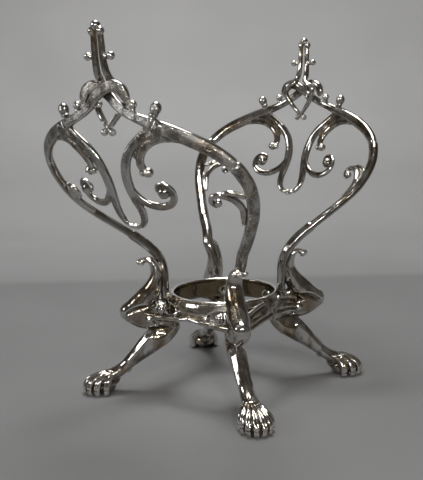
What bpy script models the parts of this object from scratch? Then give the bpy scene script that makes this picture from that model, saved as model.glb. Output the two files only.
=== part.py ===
"""A four-legged cast silver stand, modelled in metres with +Z up.

Four animal legs stand on the diagonals round an open hub ring. The front and rear pairs of legs
carry two heart-shaped scroll panels, which lean outwards over the surface of a bowl. The front is
-Y. The stand mirrors across X and across Y, so each piece is made once, at the front right, and
its copies are mirrored objects that share its mesh.
"""
import math

import bmesh
import bpy
from mathutils import Euler, Matrix, Vector

for old in list(bpy.data.objects):
    bpy.data.objects.remove(old)

MM = 0.001

# Driving dimensions
BOWL_PROFILE = (  # height and radius of the bowl that the panels lie on, mm
    (45, 30.6), (55, 30.6), (61, 30.7), (66, 31.6), (70, 33.4), (74, 36.6), (78, 40.9), (82, 46.2), (87, 53.4),
    (93, 62.0), (99, 69.2), (105, 74.3), (111, 78.2), (117, 81.1), (124, 83.4), (131, 84.8), (137, 85.4),
    (150, 85.6), (165, 85.9), (182, 87.2),
)
BAR_WIDTH = 5.6
BAR_DEPTH = 3.8
JOINT_GAP = 0.35  # clear space between touching pieces
LEG_AZIMUTH = math.radians(46.5)  # of a leg's plane, from -Y towards +X
LEG_OFFSET = -0.5  # of that plane from the stand's axis, towards the side
RING_BORE = 25.6
RING_OUTER = 28.6
RING_TOP = 50.4
RING_BOTTOM = 39.6
PANEL_OPENING = (61, 44.2, 10, 4.6)  # pierced in the ring: degrees round from X, height, length, tallness
SIDE_OPENING = (11, 43.8, 4.4, 2.4)
MIRROR_X = Matrix.Diagonal((-1, 1, 1, 1))
QUARTERS = {"front_right": (1, 1), "front_left": (-1, 1), "rear_right": (1, -1), "rear_left": (-1, -1)}

# Sweep paths on a panel: across, height, lift off the bowl, width factor
SIDE_BAR = (
    (20.6, 48.8, 0, 0.62), (20.9, 54.8, 0, 0.72), (22.0, 61.8, 0, 0.84), (24.7, 68.8, 0.3, 0.95),
    (28.6, 75.4, 0.8, 1.0), (33.6, 80.9, 1.0, 1.0), (39.6, 87.0, 1.1, 1.0), (45.2, 93.0, 1.1, 1.0),
    (50.1, 99.0, 1.5, 1.0), (53.4, 106.0, 1.8, 1.02), (54.5, 112.6, 1.9, 1.04), (53.5, 118.0, 1.9, 1.04),
    (52.0, 121.2, 1.9, 1.04),
)
CREST_BAR = (
    (51.7, 121.7, 1.9, 0.98), (48.7, 125.3, 1.8, 1.0), (43.7, 129.2, 1.5, 1.0), (37.0, 132.8, 1.2, 0.98),
    (30.0, 135.9, 0.8, 0.95), (23.0, 138.6, 0.4, 0.86), (17.0, 140.9, 0.1, 0.76), (11.2, 143.4, -0.4, 0.72),
)
KNOT = (  # from the crest bar over the middle and round the other side's lobe; lift is one-sided
    (6.2, 146.5, 0.4, 0.72), (2.6, 149.5, 1.0, 0.70), (-1.4, 152.2, 1.0, 0.68),
    (-5.6, 153.8, 0.7, 0.68), (-9.4, 152.6, 0.3, 0.66), (-11.4, 149.8, 0.1, 0.60), (-11.9, 147.7, 0, 0.50),
)
KNOT_DEPTH = -0.9  # lift of the knot's middle plane
C_CURL = (
    (38.0, 131.0, 0.8, 0.40), (33.5, 132.4, 0.7, 0.60), (28.5, 132.8, 0.4, 0.66), (23.4, 131.7, 0.1, 0.68),
    (19.0, 129.0, -0.2, 0.68), (15.8, 125.5, -1.2, 0.66), (14.2, 121.9, -2.2, 0.62), (14.2, 119.8, -2.7, 0.55),
)
CURL_WEB = (  # fills the fork between the crest bar, the C-curl and the stem
    (31.0, 134.0, 0.5, 0.50), (26.4, 134.8, 0.3, 0.66), (22.0, 133.6, 0.0, 0.62), (18.0, 130.8, -0.4, 0.50),
    (14.9, 127.6, -0.9, 0.36),
)
STEM = (
    (26.5, 137.2, 0.4, 0.50), (22.0, 136.2, 0.2, 0.66), (16.8, 132.5, -0.4, 0.70),
    (11.8, 128.3, -1.2, 0.74), (8.2, 123.6, -1.7, 0.78), (6.2, 118.2, -1.9, 0.80),
    (5.5, 112.6, -1.9, 0.80), (6.0, 106.5, -1.2, 0.74), (6.8, 101.5, -0.2, 0.68), (6.4, 97.6, 1.5, 0.62),
    (4.9, 94.9, 3.5, 0.56), (2.9, 93.5, 5.0, 0.50),
)
VOLUTE = (
    (5.6, 113.1, -1.9, 0.50), (6.6, 109.7, -1.6, 0.60), (9.2, 106.3, -1.0, 0.64), (13.2, 103.9, -0.8, 0.66),
    (17.6, 103.3, -0.8, 0.64), (21.8, 104.5, -0.9, 0.60), (24.5, 107.6, -0.9, 0.56),
    (24.6, 110.8, -0.9, 0.50), (22.6, 112.3, -0.8, 0.44),
)
LEAF = (
    (43.9, 97.0, 0.4, 0.30), (46.2, 100.6, 0.6, 0.44), (46.9, 104.0, 0.2, 0.50), (45.3, 107.0, -0.3, 0.52),
    (42.2, 108.3, -0.6, 0.50), (39.4, 107.4, -0.8, 0.46), (38.4, 105.2, -0.9, 0.42),
)
LEAF_STRAND = ((42.2, 108.5, -0.6, 0.40), (45.6, 110.0, 0.2, 0.42), (49.4, 109.6, 1.0, 0.34))
LINK = ((1.9, 93.1, 5.2, 0.42), (0.6, 92.7, 5.2, 0.42), (-0.6, 92.7, 5.2, 0.42), (-1.9, 93.1, 5.2, 0.42))
FINIAL_STRIP = (
    (1.5, 176.8, 0, 0.48), (1.9, 170.8, 0, 0.54), (1.9, 164.8, 0, 0.56), (2.2, 159.2, -1.0, 0.58),
    (3.2, 156.2, -3.5, 0.57), (5.4, 155.0, -4.9, 0.57), (7.8, 153.0, -5.1, 0.57), (8.5, 149.6, -5.0, 0.56),
    (6.8, 145.0, -4.5, 0.54), (4.4, 141.4, -4.1, 0.50), (1.6, 138.1, -3.6, 0.46), (-1.2, 135.4, -3.1, 0.42),
)

# Sweep paths in a leg's plane: distance from the axis, height, diameter
NECK = (
    (42.4, 67.4, 3.0), (39.6, 68.4, 3.6), (36.8, 67.0, 4.4), (36.2, 62.8, 5.0), (36.6, 58.4, 6.4),
    (38.8, 53.2, 8.6), (42.4, 48.4, 10.2), (45.8, 44.0, 11.4), (46.2, 40.8, 10.0),
)
THIGH = (
    (51.4, 41.8, 5.6), (47.6, 40.8, 9.0), (43.0, 39.0, 11.2), (37.6, 37.6, 11.4), (32.0, 35.6, 8.8),
    (27.4, 34.0, 7.0),
)
SHANK = (
    (26.8, 33.4, 6.2), (29.2, 31.0, 8.0), (33.0, 28.8, 9.6), (37.4, 26.2, 10.0), (42.2, 22.4, 9.0),
    (47.0, 18.0, 7.4), (52.0, 13.6, 6.2), (57.4, 10.0, 6.8), (61.4, 7.6, 8.4),
)

STRUT = (  # one brace of the hub: degrees from the leg, radius, height, diameter
    (42, 31.0, 40.4, 1.6), (35, 31.2, 40.6, 2.6), (28, 31.8, 40.8, 3.0), (20, 33.2, 40.7, 3.2), (14, 34.6, 40.2, 2.6),
)
TOES = ((-5.4, 66.2), (-1.9, 69.4), (1.9, 69.4), (5.4, 66.2))  # how far aside and how far out each one is
SCREW_AT = (33.4, 44.2)  # of the hub screw in the leg's plane


def smooth(points, steps):
    """A Catmull-Rom curve through the points, with this many steps between neighbours."""
    count = len(points)
    found = []
    for i in range(count - 1):
        before = points[max(i - 1, 0)]
        start = points[i]
        end = points[i + 1]
        after = points[min(i + 2, count - 1)]
        for step in range(steps):
            t = step / steps
            found.append(tuple(
                0.5 * (2 * b + (c - a) * t + (2 * a - 5 * b + 4 * c - d) * t**2 + (3 * b - a - 3 * c + d) * t**3)
                for a, b, c, d in zip(before, start, end, after)
            ))
    return found + [tuple(points[-1])]


BOWL = smooth(BOWL_PROFILE, 6)


def bowl_radius(height):
    for (low, inner), (high, outer) in zip(BOWL, BOWL[1:]):
        if height <= high:
            return inner + (outer - inner) * (height - low) / (high - low)
    return BOWL[-1][1]


def on_bowl(across, height, lift):
    """A place on or off the front of the bowl and its outward normal, as across, up and towards the front."""
    radius = bowl_radius(height) + lift
    slope = (bowl_radius(height + 1.5) - bowl_radius(height - 1.5)) / 3
    out = math.sqrt(radius**2 - across**2)
    normal = Vector((across / radius, -slope, out / radius)).normalized()
    return Vector((across, height, out)), normal


def collection(name):
    made = bpy.data.collections.new(name)
    bpy.context.scene.collection.children.link(made)
    return made


STAND = collection("four_legged_stand")
GUIDES = collection("guides")


def metal(name, colour, roughness):
    made = bpy.data.materials.new(name)
    made.use_nodes = True
    shader = made.node_tree.nodes["Principled BSDF"]
    shader.inputs["Base Color"].default_value = (*colour, 1)
    shader.inputs["Metallic"].default_value = 1
    shader.inputs["Roughness"].default_value = roughness
    return made


def section_curve(name, outline):
    """A closed flat outline that a sweep carries along its path, one unit wide at most."""
    curve = bpy.data.curves.new(name, "CURVE")
    curve.dimensions = "2D"
    spline = curve.splines.new("POLY")
    spline.points.add(len(outline) - 1)
    for point, (x, y) in zip(spline.points, outline):
        point.co = (x, y, 0, 1)
    spline.use_cyclic_u = True
    made = bpy.data.objects.new(name, curve)
    made.hide_render = True
    made.display_type = "WIRE"
    GUIDES.objects.link(made)
    return made


def bar_outline(width, depth):
    """A D: flat on the outer side with eased edges, half round on the inner side."""
    half = width / 2
    outline = [(half, 0.22 * depth), (0.40 * width, 0.5 * depth), (-0.40 * width, 0.5 * depth), (-half, 0.22 * depth)]
    for degrees in (200, 240, 300, 340):
        angle = math.radians(degrees)
        outline.append((half * math.cos(angle), 0.5 * depth * math.sin(angle)))
    return outline


def oval_outline(width, depth, sides):
    turns = [2 * math.pi * (i + 0.5) / sides for i in range(sides)]
    return [(width / 2 * math.cos(turn), depth / 2 * math.sin(turn)) for turn in turns]


def swept(name, section, places, normals, factors):
    """A curve object with this section along the places, its upper side held along the normals."""
    curve = bpy.data.curves.new(name, "CURVE")
    curve.dimensions = "3D"
    curve.twist_mode = "Z_UP"
    curve.bevel_mode = "OBJECT"
    curve.bevel_object = section
    curve.use_fill_caps = True
    spline = curve.splines.new("POLY")
    spline.points.add(len(places) - 1)
    for i, point in enumerate(spline.points):
        along = places[min(i + 1, len(places) - 1)] - places[max(i - 1, 0)]
        right = along.cross(Vector((0, 0, 1))).normalized()
        up = right.cross(along).normalized()
        point.co = (*(places[i] * MM), 1)
        point.radius = factors[i]
        point.tilt = math.atan2(normals[i].dot(right), normals[i].dot(up))
    made = bpy.data.objects.new(name, curve)
    STAND.objects.link(made)
    return made


def as_mesh(piece):
    """The piece with its modifiers applied and its caps welded, as a mesh in world space."""
    bpy.context.view_layer.update()
    graph = bpy.context.evaluated_depsgraph_get()
    mesh = bpy.data.meshes.new_from_object(piece.evaluated_get(graph))
    mesh.transform(piece.matrix_world)
    shape = bmesh.new()
    shape.from_mesh(mesh)
    bmesh.ops.remove_doubles(shape, verts=shape.verts, dist=1e-6)
    bmesh.ops.recalc_face_normals(shape, faces=shape.faces)
    shape.to_mesh(mesh)
    shape.free()
    name = piece.name
    bpy.data.objects.remove(piece)
    mesh.name = name
    made = bpy.data.objects.new(name, mesh)
    STAND.objects.link(made)
    return made


def boolean(piece, other, operation):
    """The piece joined with the other, or cut by it. The other is used up."""
    step = piece.modifiers.new(operation.lower(), "BOOLEAN")
    step.operation = operation
    step.object = other
    made = as_mesh(piece)
    bpy.data.objects.remove(other)
    return made


def fused(name, pieces):
    whole = pieces[0]
    for other in pieces[1:]:
        whole = boolean(whole, other, "UNION")
    whole.name = name
    return whole


def panel_sweep(name, section, path, steps):
    """A bar on the front panel, from points of across, height, lift and width factor."""
    points = smooth(path, steps)
    found = [on_bowl(across, height, lift) for across, height, lift, _ in points]
    bar = swept(name, section, [place for place, _ in found], [normal for _, normal in found], [p[3] for p in points])
    bar.rotation_euler = Euler((math.radians(90), 0, 0))
    return as_mesh(bar)


def panel_point(across, height, lift):
    """A point of the front panel in the world, mm."""
    place, _ = on_bowl(across, height, lift)
    return Vector((place.x, -place.z, place.y))


def leg_point(distance, height, aside=0):
    """A point in the front right leg's plane, or aside from it, in the world, mm."""
    out = Vector((math.sin(LEG_AZIMUTH), -math.cos(LEG_AZIMUTH), 0))
    sideways = Vector((math.cos(LEG_AZIMUTH), math.sin(LEG_AZIMUTH), 0))
    return distance * out + (LEG_OFFSET + aside) * sideways + Vector((0, 0, height))


def leg_sweep(name, section, path, steps):
    """A limb in the leg's plane, from points of distance, height and diameter."""
    points = smooth(path, steps)
    places = [Vector((distance, height, 0)) for distance, height, _ in points]
    upright = [Vector((0, 0, 1))] * len(points)
    limb = swept(name, section, places, upright, [p[2] for p in points])
    limb.rotation_euler = Euler((math.radians(90), 0, LEG_AZIMUTH - math.radians(90)))
    limb.location = leg_point(0, 0) * MM
    return as_mesh(limb)


def ball(name, centre, size, turn=(0, 0, 0), segments=8, rings=6):
    """A sphere or egg: size is its three diameters, mm."""
    mesh = bpy.data.meshes.new(name)
    shape = bmesh.new()
    bmesh.ops.create_uvsphere(shape, u_segments=segments, v_segments=rings, radius=0.5)
    bmesh.ops.scale(shape, vec=Vector(size) * MM, verts=shape.verts)
    bmesh.ops.rotate(shape, matrix=Euler(turn).to_matrix(), verts=shape.verts)
    bmesh.ops.translate(shape, vec=Vector(centre) * MM, verts=shape.verts)
    shape.to_mesh(mesh)
    shape.free()
    made = bpy.data.objects.new(name, mesh)
    STAND.objects.link(made)
    return made


def drum(name, centre, axis, radius, length, sides=20):
    """A cylinder along the axis, sizes in mm."""
    mesh = bpy.data.meshes.new(name)
    shape = bmesh.new()
    bmesh.ops.create_cone(
        shape, cap_ends=True, segments=sides, radius1=radius * MM, radius2=radius * MM, depth=length * MM
    )
    turn = Vector((0, 0, 1)).rotation_difference(Vector(axis)).to_matrix()
    bmesh.ops.rotate(shape, matrix=turn, verts=shape.verts)
    bmesh.ops.translate(shape, vec=Vector(centre) * MM, verts=shape.verts)
    shape.to_mesh(mesh)
    shape.free()
    made = bpy.data.objects.new(name, mesh)
    STAND.objects.link(made)
    return made


def make_side_bar(bar):
    return panel_sweep("side_bar", bar, SIDE_BAR, 1)


def make_crest(name, bar, side):
    """Half of a panel's crest, whose knot passes over (1) or under (-1) the other half's."""
    knot = tuple((across, height, KNOT_DEPTH + 1.55 * side * lift, factor) for across, height, lift, factor in KNOT)
    pieces = [
        panel_sweep("crest_bar", bar, CREST_BAR + knot, 2),
        panel_sweep("c_curl", bar, C_CURL, 2),
        panel_sweep("curl_web", bar, CURL_WEB, 1),
        panel_sweep("stem", bar, STEM, 1),
        panel_sweep("volute", bar, VOLUTE, 2),
        ball("curl_bead_in", panel_point(13.0, 118.8, -2.8), (3.6, 3.4, 3.4)),
        ball("curl_bead_out", panel_point(16.2, 118.4, -2.8), (3.8, 3.4, 3.4)),
        ball("volute_eye", panel_point(21.6, 110.2, -0.8), (4.4, 3.2, 4.4)),
        ball("shoulder_neck", panel_point(24.0, 140.9, 0.4), (3.4, 3.4, 4.0)),
        ball("shoulder_bud", panel_point(25.4, 144.4, 0.4), (4.8, 4.6, 6.2), (0, math.radians(20), 0)),
        ball("small_neck", panel_point(14.9, 143.5, 0), (2.4, 2.4, 3.4)),
        ball("small_knob", panel_point(15.2, 145.9, 0), (4.0, 3.8, 4.0)),
    ]
    return fused(name, pieces)


def make_leaf(tendril):
    pieces = [
        panel_sweep("leaf", tendril, LEAF, 2),
        panel_sweep("leaf_strand", tendril, LEAF_STRAND, 3),
        ball("leaf_eye", panel_point(40.2, 105.0, -0.8), (3.8, 3.4, 3.8)),
    ]
    return fused("leaf_scroll", pieces)


def make_link(bar):
    pieces = [
        panel_sweep("link_bar", bar, LINK, 2),
        ball("link_bead_left", panel_point(-1.2, 93.4, 6.2), (2.4, 2.4, 2.4)),
        ball("link_bead_right", panel_point(1.2, 93.4, 6.2), (2.4, 2.4, 2.4)),
    ]
    return fused("link", pieces)


def make_finial(strip):
    """Two mirrored strips, crossed and beaded at the foot, under one cluster of beads."""
    mirrored = tuple((-across, height, lift, factor) for across, height, lift, factor in FINIAL_STRIP)
    pieces = [
        panel_sweep("strip_right", strip, FINIAL_STRIP, 2),
        panel_sweep("strip_left", strip, mirrored, 2),
        ball("top_bead", panel_point(0, 178.1, 0), (3.4, 3.8, 3.8)),
    ]
    for side in (1, -1):
        pieces.append(ball("cluster_bead", panel_point(1.8 * side, 177.0, 0), (2.8, 3.6, 3.2)))
        pieces.append(ball("knob_stem", panel_point(3.8 * side, 165.5, 0), (4.0, 2.2, 2.2)))
        pieces.append(ball("side_knob", panel_point(6.0 * side, 165.8, 0), (3.6, 3.6, 3.6)))
        pieces.append(ball("tail_bead", panel_point(2.0 * side, 134.9, -3.0), (3.0, 3.2, 3.0)))
    return fused("finial", pieces)


def make_leg(limb):
    """Bud, neck, thigh, shank and ribbed paw, with a flat sole on the ground."""
    pieces = [
        leg_sweep("shank", limb, SHANK, 2),
        leg_sweep("thigh", limb, THIGH, 2),
        leg_sweep("neck", limb, NECK, 2),
        ball("bud", leg_point(42.6, 67.6), (4.6, 4.4, 4.2)),
        ball("hip", leg_point(35.6, 43.2), (9.0, 7.0, 9.0)),
        ball("pad", leg_point(64.8, 5.4), (12.0, 13.0, 12.0), segments=12),
    ]
    for aside, forward in TOES:
        toe = leg_point(forward, 4.8, aside)
        pieces.append(ball("toe", toe, (10.6, 4.8, 10.4), (0, 0, LEG_AZIMUTH - math.pi / 2)))
    leg = fused("leg", pieces)
    below = drum("below_sole", leg_point(65, -5), (0, 0, 1), 20, 10)
    return boolean(leg, below, "DIFFERENCE")


def ring_cutter(across, along, opening):
    """An egg through the ring's wall, at an angle round from X and a height, in one quarter of the stand."""
    degrees, height, length, tall = opening
    angle = math.radians(degrees)
    middle = (across * 27 * math.cos(angle), -along * 27 * math.sin(angle), height)
    return ball("opening", middle, (12, length, tall), (0, 0, -across * along * angle), 10, 6)


def make_ring():
    """The turned hub ring: rolled rim, plain band and flared foot, pierced on all four sides."""
    profile = (
        (RING_BORE, RING_BOTTOM + 1.2), (RING_BORE, RING_TOP - 1.6), (RING_BORE + 0.4, RING_TOP - 0.5),
        (RING_BORE + 1.3, RING_TOP), (RING_BORE + 2.3, RING_TOP - 0.5), (RING_BORE + 2.7, RING_TOP - 1.6),
        (RING_OUTER - 0.4, RING_BOTTOM + 6.0), (RING_OUTER, RING_BOTTOM + 3.6), (RING_OUTER + 1.4, RING_BOTTOM + 1.8),
        (RING_OUTER + 1.2, RING_BOTTOM + 0.2), (RING_OUTER - 0.4, RING_BOTTOM), (RING_BORE + 0.8, RING_BOTTOM + 0.4),
    )
    mesh = bpy.data.meshes.new("ring")
    shape = bmesh.new()
    verts = [shape.verts.new((radius * MM, 0, height * MM)) for radius, height in reversed(profile)]
    for i, vert in enumerate(verts):
        shape.edges.new((vert, verts[(i + 1) % len(verts)]))
    shape.to_mesh(mesh)
    shape.free()
    ring = bpy.data.objects.new("ring", mesh)
    STAND.objects.link(ring)
    turn = ring.modifiers.new("turn", "SCREW")
    turn.steps = 40
    turn.render_steps = 40
    turn.use_merge_vertices = True
    turn.merge_threshold = 1e-5
    ring = as_mesh(ring)
    for across, along in QUARTERS.values():
        for opening in (PANEL_OPENING, SIDE_OPENING):
            ring = boolean(ring, ring_cutter(across, along, opening), "DIFFERENCE")
    return ring


def strut_path(side):
    """One brace of the hub: from the ring's foot round to the leg's flank."""
    found = []
    for degrees, radius, height, factor in STRUT:
        angle = LEG_AZIMUTH + side * math.radians(degrees)
        found.append((Vector((radius * math.sin(angle), -radius * math.cos(angle), height)), factor))
    return found


def make_strut(name, rod, side):
    points = strut_path(side)
    upright = [Vector((0, 0, 1))] * len(points)
    return as_mesh(swept(name, rod, [place for place, _ in points], upright, [factor for _, factor in points]))


def make_screw():
    """A round-headed screw on the panel side of the leg's root, its axis across the leg."""
    across = Vector((math.cos(LEG_AZIMUTH), math.sin(LEG_AZIMUTH), 0))
    pieces = [
        drum("hub_screw", leg_point(SCREW_AT[0], SCREW_AT[1], -7.6), across, 1.5, 3.4, 12),
        ball("screw_head", leg_point(SCREW_AT[0], SCREW_AT[1], -9.4), (4.4, 4.4, 4.4)),
    ]
    return fused("hub_screw", pieces)


def make_nut():
    across = Vector((math.cos(LEG_AZIMUTH), math.sin(LEG_AZIMUTH), 0))
    nut = drum("hub_nut", leg_point(SCREW_AT[0], SCREW_AT[1], -6.8), across, 2.9, 1.6, 6)
    hole = drum("nut_bore", leg_point(SCREW_AT[0], SCREW_AT[1], -6.8), across, 1.5 + JOINT_GAP, 6, 16)
    return boolean(nut, hole, "DIFFERENCE")


def placed(piece, material, copies):
    """Mirrored objects that share the piece's mesh. copies gives each one's name and its scale in X and Y."""
    piece.data.materials.clear()
    piece.data.materials.append(material)
    piece.data.shade_smooth()
    piece.data.set_sharp_from_angle(angle=math.radians(50))
    for name, (across, along) in copies.items():
        copy = bpy.data.objects.new(name, piece.data)
        copy.scale = (across, along, 1)
        copy.parent = FRAME
        STAND.objects.link(copy)
    bpy.data.objects.remove(piece)


def at_corners(piece, base, material):
    placed(piece, material, {f"{base}_{corner}": scale for corner, scale in QUARTERS.items()})


def at_both_ends(piece, base, material):
    placed(piece, material, {f"{base}_front": (1, 1), f"{base}_rear": (1, -1)})


FRAME = bpy.data.objects.new("frame", None)
STAND.objects.link(FRAME)

BAR = section_curve("bar_section", bar_outline(BAR_WIDTH * MM, BAR_DEPTH * MM))
TENDRIL = section_curve("tendril_section", oval_outline(BAR_WIDTH * MM, BAR_WIDTH * MM, 6))
STRIP = section_curve("strip_section", oval_outline(BAR_WIDTH * 0.9 * MM, BAR_WIDTH * 0.95 * MM, 6))
LIMB = section_curve("limb_section", oval_outline(MM, 0.92 * MM, 10))
ROD = section_curve("rod_section", oval_outline(MM, MM, 8))

SILVER = metal("silver", (0.72, 0.70, 0.67), 0.16)
BRUSHED = metal("brushed_silver", (0.60, 0.59, 0.57), 0.30)
SHADED = metal("tarnished_silver", (0.42, 0.38, 0.33), 0.24)

at_corners(make_leg(LIMB), "leg", SILVER)
at_corners(make_side_bar(BAR), "side_bar", BRUSHED)
at_corners(make_leaf(TENDRIL), "leaf_scroll", BRUSHED)
at_both_ends(make_crest("crest_under", BAR, -1), "crest_right", BRUSHED)
over = make_crest("crest_over", BAR, 1)
over.data.transform(MIRROR_X)
over.data.flip_normals()
at_both_ends(over, "crest_left", BRUSHED)
at_both_ends(make_link(BAR), "pendant_link", BRUSHED)
at_both_ends(make_finial(STRIP), "finial", SILVER)
placed(make_ring(), SHADED, {"hub_ring": (1, 1)})
at_corners(make_strut("hub_strut", ROD, 1), "hub_strut_side", SHADED)
at_corners(make_strut("hub_strut", ROD, -1), "hub_strut_panel", SHADED)
at_corners(make_screw(), "hub_screw", SILVER)
at_corners(make_nut(), "hub_nut", SILVER)
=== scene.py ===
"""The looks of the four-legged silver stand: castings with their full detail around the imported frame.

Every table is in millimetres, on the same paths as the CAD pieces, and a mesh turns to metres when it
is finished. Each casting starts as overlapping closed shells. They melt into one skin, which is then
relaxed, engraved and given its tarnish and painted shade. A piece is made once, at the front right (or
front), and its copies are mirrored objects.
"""
import math

import bpy
import numpy as np
from mathutils import Matrix, Vector


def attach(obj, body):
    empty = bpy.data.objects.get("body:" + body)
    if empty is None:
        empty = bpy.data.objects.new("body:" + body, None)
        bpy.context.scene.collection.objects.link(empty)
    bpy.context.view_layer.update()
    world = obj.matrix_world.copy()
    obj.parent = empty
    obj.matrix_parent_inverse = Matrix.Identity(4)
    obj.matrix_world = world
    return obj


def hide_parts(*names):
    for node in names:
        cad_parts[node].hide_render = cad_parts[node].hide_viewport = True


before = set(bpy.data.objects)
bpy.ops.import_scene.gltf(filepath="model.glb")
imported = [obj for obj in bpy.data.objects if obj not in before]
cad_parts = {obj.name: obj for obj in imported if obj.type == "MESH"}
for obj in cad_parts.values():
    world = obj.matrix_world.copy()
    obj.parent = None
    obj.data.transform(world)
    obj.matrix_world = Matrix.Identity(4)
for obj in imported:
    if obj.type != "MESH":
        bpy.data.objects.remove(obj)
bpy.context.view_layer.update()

MM = 0.001
FINE = 0.25  # size of the voxels that a slim casting melts in
COARSE = 0.28  # and of those for the legs and the ring
STEPS = 6  # from one point of a sweep path to the next
BLUR_ROUNDS = 14  # how widely a surface is averaged to find its hollows
CORNERS = {  # mirroring of each corner's copy, across and along
    "front_right": (1, 1), "front_left": (-1, 1), "rear_right": (1, -1), "rear_left": (-1, -1),
}
ENDS = {"front": (1, 1), "rear": (1, -1)}

# Driving dimensions, as in the CAD
BOWL_PROFILE = (  # height and radius of the bowl that the panels lie on
    (45, 30.6), (55, 30.6), (61, 30.7), (66, 31.6), (70, 33.4), (74, 36.6), (78, 40.9), (82, 46.2),
    (87, 53.4), (93, 62.0), (99, 69.2), (105, 74.3), (111, 78.2), (117, 81.1), (124, 83.4), (131, 84.8),
    (137, 85.4), (150, 85.6), (165, 85.9), (182, 87.2),
)
BAR_WIDTH = 5.6
BAR_DEPTH = 3.8
LEG_AZIMUTH = math.radians(46.5)  # of a leg's plane, from -Y towards +X
LEG_OFFSET = -0.5  # of that plane from the stand's axis
RING_BORE = 25.6
RING_OUTER = 28.6
RING_TOP = 50.4
RING_BOTTOM = 39.6
RING_SEAM = (43.2, 43.5)  # where the ring's upper band starts and its foot ends
WINDOW = (61, 10.5, 2.3)  # pierced at the seam: degrees from X, half its length, half its height

# Sweep paths on a panel: across, height, lift off the bowl, width factor
SIDE_BAR = (
    (20.6, 48.8, 0.3, 0.84), (20.9, 54.8, 0.3, 0.88), (22.0, 61.8, 0.2, 0.92),
    (24.7, 68.8, 0.3, 0.97), (28.6, 75.4, 0.8, 1.0), (33.6, 80.9, 1.0, 1.0),
    (39.6, 87.0, 1.1, 1.0), (45.2, 93.0, 1.1, 1.0), (50.1, 99.0, 1.5, 1.0),
    (53.4, 106.0, 1.8, 1.02), (54.5, 112.6, 1.9, 1.04), (53.5, 118.0, 1.9, 1.04),
    (52.3, 120.7, 1.9, 1.04),
)
CREST_BAR = (
    (51.4, 122.1, 1.9, 0.98), (48.7, 125.3, 1.8, 1.0), (43.7, 129.2, 1.5, 1.04),
    (37.0, 132.8, 1.2, 1.08), (30.0, 135.9, 0.8, 1.04), (23.0, 138.6, 0.4, 0.90),
    (17.0, 140.9, 0.1, 0.76), (11.2, 143.4, -0.4, 0.72),
)
KNOT = (  # from the crest bar over the middle and round the other side's lobe; lift is one-sided
    (6.2, 146.5, 0.4, 0.78), (2.6, 149.5, 1.0, 0.86), (-1.4, 152.2, 1.0, 0.92),
    (-5.6, 153.8, 0.7, 0.96), (-9.4, 152.6, 0.3, 0.92), (-11.2, 149.8, 0.1, 0.82),
    (-11.7, 147.7, 0, 0.60),
)
KNOT_DEPTH = -0.9  # lift of the knot's middle plane
KNOT_REACH = 1.75  # how far the strands pass over and under it
C_CURL = (
    (38.0, 131.0, 0.8, 0.40), (33.5, 132.4, 0.7, 0.60), (28.5, 132.8, 0.4, 0.66),
    (23.4, 131.7, 0.1, 0.68), (19.0, 129.0, -0.2, 0.68), (15.8, 125.5, -1.2, 0.66),
    (14.2, 121.9, -2.2, 0.66), (14.6, 119.8, -2.7, 0.60),
)
CURL_WEB = (  # fills the fork between the crest bar, the C-curl and the stem
    (37.0, 132.2, 0.6, 0.40), (31.0, 134.0, 0.5, 0.62), (26.4, 134.8, 0.3, 0.74),
    (22.0, 133.6, 0.0, 0.70), (18.0, 130.8, -0.4, 0.56), (14.9, 127.6, -0.9, 0.40),
    (12.6, 124.6, -1.5, 0.24),
)
STEM = (
    (26.5, 137.2, 0.4, 0.50), (22.0, 136.2, 0.2, 0.66), (16.8, 132.5, -0.4, 0.70),
    (11.8, 128.3, -1.2, 0.74), (8.2, 123.6, -1.7, 0.78), (6.2, 118.2, -1.9, 0.80),
    (5.5, 112.6, -1.9, 0.80), (6.0, 106.5, -1.2, 0.74), (6.8, 101.5, -0.2, 0.68),
    (6.4, 97.6, 1.5, 0.62), (4.9, 94.9, 3.5, 0.56), (3.2, 93.6, 4.9, 0.50),
)
VOLUTE = (
    (5.6, 113.1, -1.9, 0.50), (6.6, 109.7, -1.6, 0.60), (9.2, 106.3, -1.0, 0.64),
    (13.2, 103.9, -0.8, 0.66), (17.6, 103.3, -0.8, 0.66), (21.8, 104.5, -0.9, 0.64),
    (24.6, 107.4, -0.9, 0.60), (24.9, 110.9, -0.9, 0.54), (22.6, 113.3, -0.8, 0.48),
    (19.7, 112.6, -0.8, 0.42), (19.0, 110.2, -0.8, 0.36),
)
LEAF = (
    (43.6, 94.6, 0.4, 0.34), (46.4, 98.6, 0.7, 0.50), (47.9, 102.6, 0.4, 0.58),
    (46.4, 106.6, -0.2, 0.58), (42.8, 108.5, -0.6, 0.54), (39.4, 107.8, -0.8, 0.48),
    (38.0, 105.4, -0.9, 0.42), (39.0, 103.6, -0.9, 0.34),
)
LEAF_STRAND = ((42.8, 108.7, -0.6, 0.40), (46.6, 109.6, 0.2, 0.44), (51.0, 107.8, 1.2, 0.40))
FINIAL_STRIP = (
    (1.7, 176.8, 0, 0.50), (2.0, 170.8, 0, 0.54), (2.1, 164.8, 0, 0.56),
    (2.5, 159.2, -1.0, 0.60), (3.0, 155.8, -3.4, 0.60), (4.9, 154.0, -4.9, 0.58),
    (7.3, 152.8, -5.1, 0.58), (8.5, 150.2, -5.0, 0.57), (8.0, 147.0, -4.8, 0.56),
    (6.2, 143.8, -4.4, 0.54), (4.0, 140.9, -4.0, 0.50), (1.6, 138.1, -3.6, 0.46),
    (-1.2, 135.4, -3.1, 0.42),
)

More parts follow.
